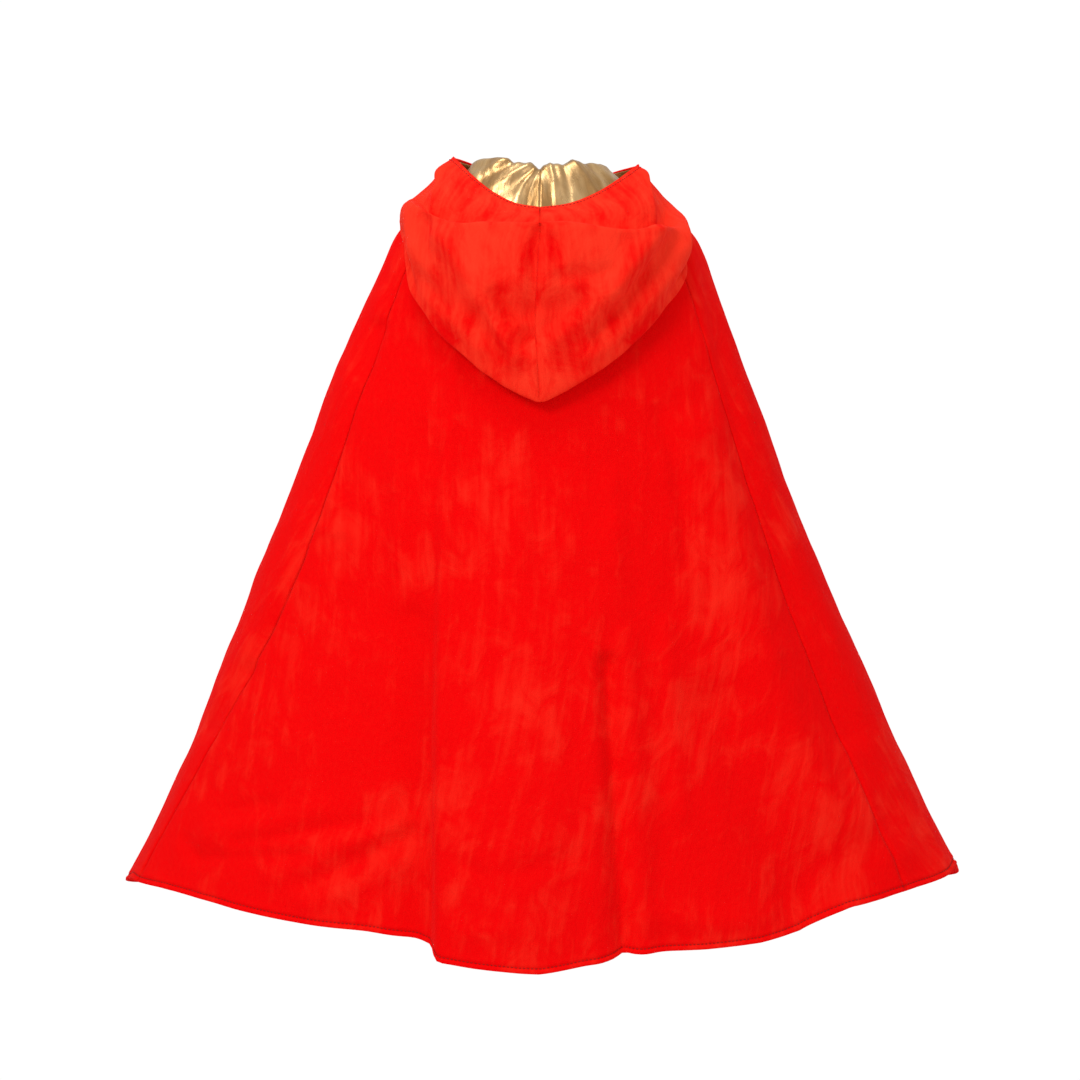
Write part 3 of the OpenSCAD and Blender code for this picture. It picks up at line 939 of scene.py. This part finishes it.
class CAPE_OT_panels(bpy.types.Operator):
    """Makes the velvet back and fronts"""
    bl_idname = "cape.panels"
    bl_label = "Velvet panels"

    def execute(self, context):
        sizes = context.scene.cape_sizes
        cape = CapeShape(sizes)
        rows = hem_rows(cape, PANEL_ROWS)
        for place, columns, _, _ in PANELS:
            points = panel_points(cape, place, columns, rows)
            obj = grid_piece(f"{place}_panel", points, VELVET, sizes.velvet, away_from_axis)
            placed(obj, "cape", f"{place}_velvet")
            declare_sheet(points)
        return {"FINISHED"}


class CAPE_OT_lining(bpy.types.Operator):
    """Makes the metallic lining behind each panel"""
    bl_idname = "cape.lining"
    bl_label = "Cape lining"

    def execute(self, context):
        sizes = context.scene.cape_sizes
        cape = CapeShape(sizes)
        rows = panel_rows(LINING_ROWS, 1 - in_mm(sizes, "hem_turn") / in_mm(sizes, "back_drop"))
        out = -in_mm(sizes, "velvet") - LINING_GAP
        for place, _, columns, margin in PANELS:
            points = panel_points(cape, place, columns, rows, out, margin)
            obj = grid_piece(f"{place}_lining_cloth", points, LINING, sizes.lining, away_from_axis)
            placed(obj, "cape", f"{place}_lining")
            declare_sheet(points)
        return {"FINISHED"}


class CAPE_OT_hood(bpy.types.Operator):
    """Makes the hood's velvet halves and their lining"""
    bl_idname = "cape.hood"
    bl_label = "Hood"

    def execute(self, context):
        sizes = context.scene.cape_sizes
        cape = CapeShape(sizes)
        for side, word in ((1, "left"), (-1, "right")):
            shape = HoodShape(cape, context.scene.hood_sizes, side)
            grid, normal, rows, columns = hood_grid(shape)
            self.velvet_half(word, grid, normal, sizes)
            self.lining_half(word, grid, normal, rows, columns, sizes)
        return {"FINISHED"}

    @staticmethod
    def facing(grid, normal):
        middle = Vector(grid[60, 20]) * MM
        way = Vector(normal[60, 20])
        return lambda p: way if (p - middle).length < 0.012 else (0, 0, 0)

    def velvet_half(self, word, grid, normal, sizes):
        obj = grid_piece(f"hood_{word}_half", grid, HOOD_VELVET, sizes.velvet,
                         self.facing(grid, normal))
        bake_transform(obj)
        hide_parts(f"hood_{word}_velvet", f"hood_edge_{word}")
        declare_sheet(grid)

    def lining_half(self, word, grid, normal, rows, columns, sizes):
        thin = 1 - 0.08 * smooth((columns - 1.5) / 0.4)
        inner = grid - normal * ((in_mm(sizes, "velvet") + 0.35) * thin)[None, :, None]
        keep = slice(1, -1)
        x, z = inner[..., 0], inner[..., 2]
        seen = (smooth((rows - 12.2) / 1.2) * smooth((15.3 - rows) / 1.2))[:, None]
        crease = pushed(x, z, GATHERS) + rumple(inner * [1.6, 1, 0.6], 10, 0.8, 8)
        beside = smooth((0.98 - columns) / 0.3)[None, :]
        lift = (4.2 + crease) * seen * beside * smooth((inner[..., 1] + 5) / 25)
        inner = inner - normal * lift[..., None]
        inner[:, 0, 0] = grid[:, 0, 0] * 0.3
        inner[:, 1, 0] = (inner[:, 0, 0] + inner[:, 2, 0]) / 2
        top_fold = 0.3 * bump_at(rows, 4.3, 0.6)[:, None] * smooth((1.02 - columns) / 0.1)[None, :]
        outer_fold = bump_at(rows, 8.6, 1.9)[:, None] * smooth((columns - 1.02) / 0.15)[None, :]
        inner = self.eased(inner, np.minimum(1, top_fold + outer_fold)[..., None])
        obj = grid_piece(f"hood_{word}_half_lining", inner[keep], LINING, sizes.lining,
                         self.facing(inner[keep], -normal[keep]))
        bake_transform(obj)
        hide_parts(f"hood_{word}_lining", f"hood_neck_lining_{word}")
        declare_sheet(inner[keep])

    @staticmethod
    def eased(grid, share):
        """The lining cuts the corners inside the folds."""
        for _ in range(40):
            middle = grid.copy()
            middle[1:-1] = (grid[:-2] + grid[2:]) / 2
            grid = grid + (middle - grid) * share * 0.7
        return grid


class CAPE_OT_neck(bpy.types.Operator):
    """Makes the twill binding inside the neck seam and the blank label"""
    bl_idname = "cape.neck"
    bl_label = "Neck binding and label"

    def execute(self, context):
        cape = CapeShape(context.scene.cape_sizes)
        a = np.linspace(-168, 168, 200)[None, :]
        v = np.linspace(0.001, 0.018, 9)[:, None]
        a, v = np.broadcast_arrays(a, v)
        points = cape.plain(a, v)
        roll = 0.7 * np.sin(np.pi * (v - 0.001) / 0.017)
        points = points - outward(a, 0.6) * (4.6 + roll)[..., None] / 1.17
        obj = grid_piece("neck_binding_tape", points, BINDING, 0.8 * MM, to_axis)
        placed(obj, "cape", "neck_tape")
        declare_sheet(points)
        self.label(cape)
        return {"FINISHED"}

    @staticmethod
    def label(cape):
        a = np.linspace(-14, 14, 30)[None, :]
        v = np.linspace(0.006, 0.068, 36)[:, None]
        a, v = np.broadcast_arrays(a, v)
        points = cape.plain(a, v)
        curl = 1.2 * smooth((v - 0.03) / 0.04) * (1 + 0.5 * np.cos(np.radians(a * 10)))
        points = points - outward(a, 0.4) * (6.6 + curl)[..., None] / 1.08
        obj = grid_piece("blank_label", points, LABEL, 0.35 * MM, to_axis)
        placed(obj, "cape", "care_label")
        declare_sheet(points)


def throat_point(cape, across, v, lift):
    """A point above the fronts at the throat, a distance to the wearer's right."""
    across, v = np.broadcast_arrays(np.asarray(across, float), np.asarray(v, float))
    a = 180 + np.degrees(np.arcsin(across / cape.look(cape.side, v, 1)))
    rest = cape.plain(a, v)
    away = outward(a, 0.32)
    away /= np.linalg.norm(away, axis=-1, keepdims=True)
    return rest + away * np.asarray(lift)[..., None]


# The throat tab across the throat, from its hinge to its free end, with its height, the radius
# of its free corners and its level below the neck seam as a share of the front
TAB_HINGE, TAB_END, TAB_HEIGHT, TAB_CORNER, TAB_TOP = -14.0, 44.0, 36.0, 9.0, 0.02
# The square hook and loop tapes, and their distance from the tab's free end
TAPE_SIZE, TAPE_INSET, TAPE_STEPS = 22.0, 5.0, 24
# Levels above the fronts, from the tab's stitches down to the loop tape
STITCH_LIFT, TAB_LIFT, TAB_LINING_LIFT, HOOK_LIFT, LOOP_LIFT = 6.5, 6.2, 3.9, 2.75, 0.95
# Distance of the tab's stitches from its edges
TAB_SEAM = 4.0


def below_tab_top(cape, distance):
    """A level on the front, as a share of its length."""
    return TAB_TOP + distance / in_mm(cape.sizes, "front_drop")


class CAPE_OT_closure(bpy.types.Operator):
    """Makes the throat tab with its lining and its hook and loop tapes"""
    bl_idname = "cape.closure"
    bl_label = "Throat tab"

    @staticmethod
    def tab_grid(cape, lift, inset):
        """The tab's outline with its free corners rounded."""
        u = np.linspace(0, 1, 44)[None, :]
        w = np.linspace(-1, 1, 36)[:, None]
        half = TAB_HEIGHT / 2 - inset
        run = (TAB_END - inset) - (TAB_HINGE + inset)
        beyond = np.maximum(0, TAB_CORNER - (1 - u) * run)
        pull = TAB_CORNER - np.sqrt(np.maximum(0, TAB_CORNER**2 - beyond**2))
        across = TAB_HINGE + inset + run * u + 0 * w
        v = below_tab_top(cape, TAB_HEIGHT / 2 + w * (half - pull)) + 0 * across
        plump = 0.5 * np.sqrt(np.maximum(0, 1 - w**4)) * np.sin(np.pi * np.clip(u, 0.02, 0.98)) ** 0.4
        return throat_point(cape, across, v, lift + plump)

    def execute(self, context):
        cape = CapeShape(context.scene.cape_sizes)
        velvet = self.tab_grid(cape, TAB_LIFT, 0.0)
        obj = grid_piece("throat_tab", velvet, VELVET, 1.6 * MM, self.facing(1))
        self.laid(obj, "closure_tab", "closure_tab", "velvet", velvet)
        lining = self.tab_grid(cape, TAB_LINING_LIFT, 1.0)
        obj = grid_piece("throat_tab_lining", lining, LINING, 0.5 * MM, self.facing(-1))
        self.laid(obj, "closure_tab", "closure_tab_lining", "lining", lining)
        self.tape(cape, "hook_patch", "hook_tape", HOOK_LIFT, -1, "closure_tab")
        self.tape(cape, "loop_patch", "loop_tape", LOOP_LIFT, 1, "cape")
        return {"FINISHED"}

    @staticmethod
    def facing(way):
        return lambda p: (0, -way, 0.3 * way)

    @staticmethod
    def laid(obj, body, node, slot, points):
        placed(obj, body, node)
        declare_sheet(points)

    def tape(self, cape, name, node, lift, way, body):
        """A woven tape with its rows of hooks or loops, facing outward (1) or inward (-1)."""
        outer = TAB_END - TAPE_INSET
        across = np.linspace(outer - TAPE_SIZE, outer, TAPE_STEPS)[None, :]
        drop = TAB_HEIGHT / 2 + np.linspace(-TAPE_SIZE / 2, TAPE_SIZE / 2, TAPE_STEPS)
        v = below_tab_top(cape, drop[:, None])
        points = throat_point(cape, across, v, lift)
        obj = grid_piece(name, points, TAPE, 0.45 * MM, self.facing(way))
        bm = bmesh.new()
        bm.from_mesh(obj.data)
        start = len(bm.verts)
        for row in range(1, TAPE_STEPS - 1, 2):
            for col in range(1, TAPE_STEPS - 1, 2):
                place = Vector(points[row, col]) * MM
                lean = Matrix.Rotation(math.radians(90 if (row + col) % 4 else 60), 4, "Z")
                size_m = Matrix.Diagonal((0.55 * MM, 0.24 * MM, 0.5 * MM, 1))
                bmesh.ops.create_uvsphere(bm, u_segments=6, v_segments=4, radius=1,
                                          matrix=Matrix.Translation(place) @ lean @ size_m)
        obj.data.materials.append(bpy.data.materials[HOOKS])
        bm.verts.ensure_lookup_table()
        for vert in bm.verts[start:]:
            for face in vert.link_faces:
                face.material_index = 1
                face.smooth = True
        bm.to_mesh(obj.data)
        bm.free()
        self.laid(obj, body, node, "tape", points)


class CAPE_OT_stitches(bpy.types.Operator):
    """Sews the hem, the front edges, the hood's face edge and the tab"""
    bl_idname = "cape.stitches"
    bl_label = "Stitches"

    def execute(self, context):
        cape = CapeShape(context.scene.cape_sizes)
        self.hem(cape)
        self.fronts(cape)
        self.hood(context, cape)
        self.tab(cape)
        return {"FINISHED"}

    @staticmethod
    def line_on(cape, a, v, lift):
        return cape.cloth(a, v) + outward(a, 0.25) * lift

    def hem(self, cape):
        v = 1 - HEM_SEAM / in_mm(cape.sizes, "back_drop")
        end = float(cape.beside_edge(v, 6.0))
        a = np.linspace(-end, end, 1400)
        obj = stitched("hem_stitches", [self.line_on(cape, a, np.full(a.shape, v), -0.45)])
        placed(obj, "cape", "hem_stitching")

    def fronts(self, cape):
        v = np.linspace(0.012, 1 - 6 / in_mm(cape.sizes, "back_drop"), 700)
        lines = []
        for side in (1, -1):
            a = side * cape.beside_edge(v, 5.0)
            lines.append(self.line_on(cape, a, v, 0.25))
        obj = stitched("front_stitches", lines)
        placed(obj, "cape", "front_stitching")

    def hood(self, context, cape):
        lines = []
        for side in (1, -1):
            grid, normal = hood_grid(HoodShape(cape, context.scene.hood_sizes, side))[:2]
            down = np.cumsum(np.linalg.norm(np.diff(grid, axis=0, prepend=grid[:1]), axis=2), axis=0)
            line = []
            for j in range(1, grid.shape[1] - 6):
                raised = grid[:, j] + 0.3 * normal[:, j]
                line.append([np.interp(4.6, down[:, j], raised[:, d]) for d in range(3)])
            lines.append(line)
        obj = stitched("hood_stitches", lines)
        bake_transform(obj)
        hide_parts("hood_stitching")

    def tab(self, cape):
        across = np.linspace(TAB_HINGE + 2, TAB_END - 6, 60)
        lines = [throat_point(cape, across, below_tab_top(cape, drop), STITCH_LIFT)
                 for drop in (TAB_SEAM, TAB_HEIGHT - TAB_SEAM)]
        down = below_tab_top(cape, np.linspace(TAB_SEAM + 1, TAB_HEIGHT - TAB_SEAM - 1, 30))
        lines += [throat_point(cape, place, down, STITCH_LIFT + 0.1)
                  for place in (TAB_END - TAB_SEAM, TAB_HINGE + 3)]
        obj = stitched("tab_stitches", lines)
        placed(obj, "closure_tab", "tab_stitching")


class CAPE_OT_stage(bpy.types.Operator):
    """Makes the floor, the lights and the camera"""
    bl_idname = "cape.stage"
    bl_label = "Floor, lights and camera"

    def execute(self, context):
        look = context.scene.stage_look
        self.camera(context, look)
        self.floor(look)
        self.sky(context, look)
        self.light("key", (1.7, 2.7, 1.5), 1.4, look.key, (0, 0, -0.25))
        self.light("fill", (-2.2, 2.4, 0.3), 1.6, look.fill, (0, 0, -0.35))
        self.light("top", (0.2, 0.5, 1.7), 1.0, look.top, (0, 0, -0.1))
        context.scene.view_settings.view_transform = "Standard"
        return {"FINISHED"}

    @staticmethod
    def camera(context, look):
        data = bpy.data.cameras.new("camera")
        data.sensor_width = 36.0
        data.lens = data.sensor_width * look.camera_back / look.view_width
        data.clip_end = 50
        camera = bpy.data.objects.new("camera", data)
        context.scene.collection.objects.link(camera)
        camera.location = (0, look.camera_back, look.camera_level)
        camera.rotation_euler = (math.radians(90), 0, math.radians(180))
        context.scene.camera = camera

    @staticmethod
    def floor(look):
        bm = bmesh.new()
        bmesh.ops.create_grid(bm, x_segments=1, y_segments=1, size=1.95,
                              matrix=Matrix.Translation((0, 0, look.floor_level)))
        material, tree, shader = base_material("Pale floor")
        tone = noise_at(tree, object_map(tree), 3.0)
        feed_all(tree, shader, {"Base Color": tint(tree, tone, (0.93,) * 3, (0.96,) * 3),
                                "Roughness": 0.9, "Specular IOR Level": 0.1})
        finish_mesh("floor", bm, material.name)

    @staticmethod
    def sky(context, look):
        world = bpy.data.worlds.new("studio")
        world.use_nodes = True
        context.scene.world = world
        tree = world.node_tree
        seen = tree.nodes.new("ShaderNodeLightPath").outputs["Is Camera Ray"]
        strength = number(tree, "ADD", number(tree, "MULTIPLY", seen, 1.02 - look.sky), look.sky)
        feed_all(tree, tree.nodes["Background"], {"Color": (1, 1, 1, 1), "Strength": strength})

    @staticmethod
    def light(name, place, size, power, target):
        data = bpy.data.lights.new(name, "AREA")
        data.shape = "DISK"
        data.size = size
        data.energy = power
        obj = bpy.data.objects.new(name, data)
        bpy.context.scene.collection.objects.link(obj)
        obj.location = place
        obj.rotation_euler = (Vector(target) - Vector(place)).to_track_quat("-Z", "Y").to_euler()


class CAPE_PT_panel(bpy.types.Panel):
    """Lists the cape's pieces in the order in which they are made"""
    bl_idname = "CAPE_PT_panel"
    bl_label = "Hooded cape"
    bl_space_type = "VIEW_3D"
    bl_region_type = "UI"
    bl_category = "Cape"

    def draw(self, context):
        for operator in MAKERS:
            self.layout.operator(operator.bl_idname)
        for group in (context.scene.cape_sizes, context.scene.hood_sizes,
                      context.scene.cloth_look, context.scene.stage_look):
            box = self.layout.box()
            for name in group.__annotations__:
                box.prop(group, name)


GROUPS = {"cape_sizes": CapeSizes, "hood_sizes": HoodSizes, "cloth_look": ClothLook,
          "stage_look": StageLook}
MAKERS = [CAPE_OT_stage, CAPE_OT_panels, CAPE_OT_lining, CAPE_OT_hood, CAPE_OT_neck, CAPE_OT_closure,
          CAPE_OT_stitches]


def register():
    for cls in [*GROUPS.values(), *MAKERS, CAPE_PT_panel]:
        bpy.utils.register_class(cls)
    for name, cls in GROUPS.items():
        setattr(bpy.types.Scene, name, bpy.props.PointerProperty(type=cls))


def unregister():
    for name in GROUPS:
        delattr(bpy.types.Scene, name)
    for cls in reversed([*GROUPS.values(), *MAKERS, CAPE_PT_panel]):
        bpy.utils.unregister_class(cls)


def main():
    register()
    make_materials()
    bpy.ops.cape.stage()
    bpy.ops.cape.panels()
    bpy.ops.cape.lining()
    bpy.ops.cape.hood()
    bpy.ops.cape.neck()
    bpy.ops.cape.closure()
    bpy.ops.cape.stitches()


if __name__ == "__main__":
    main()
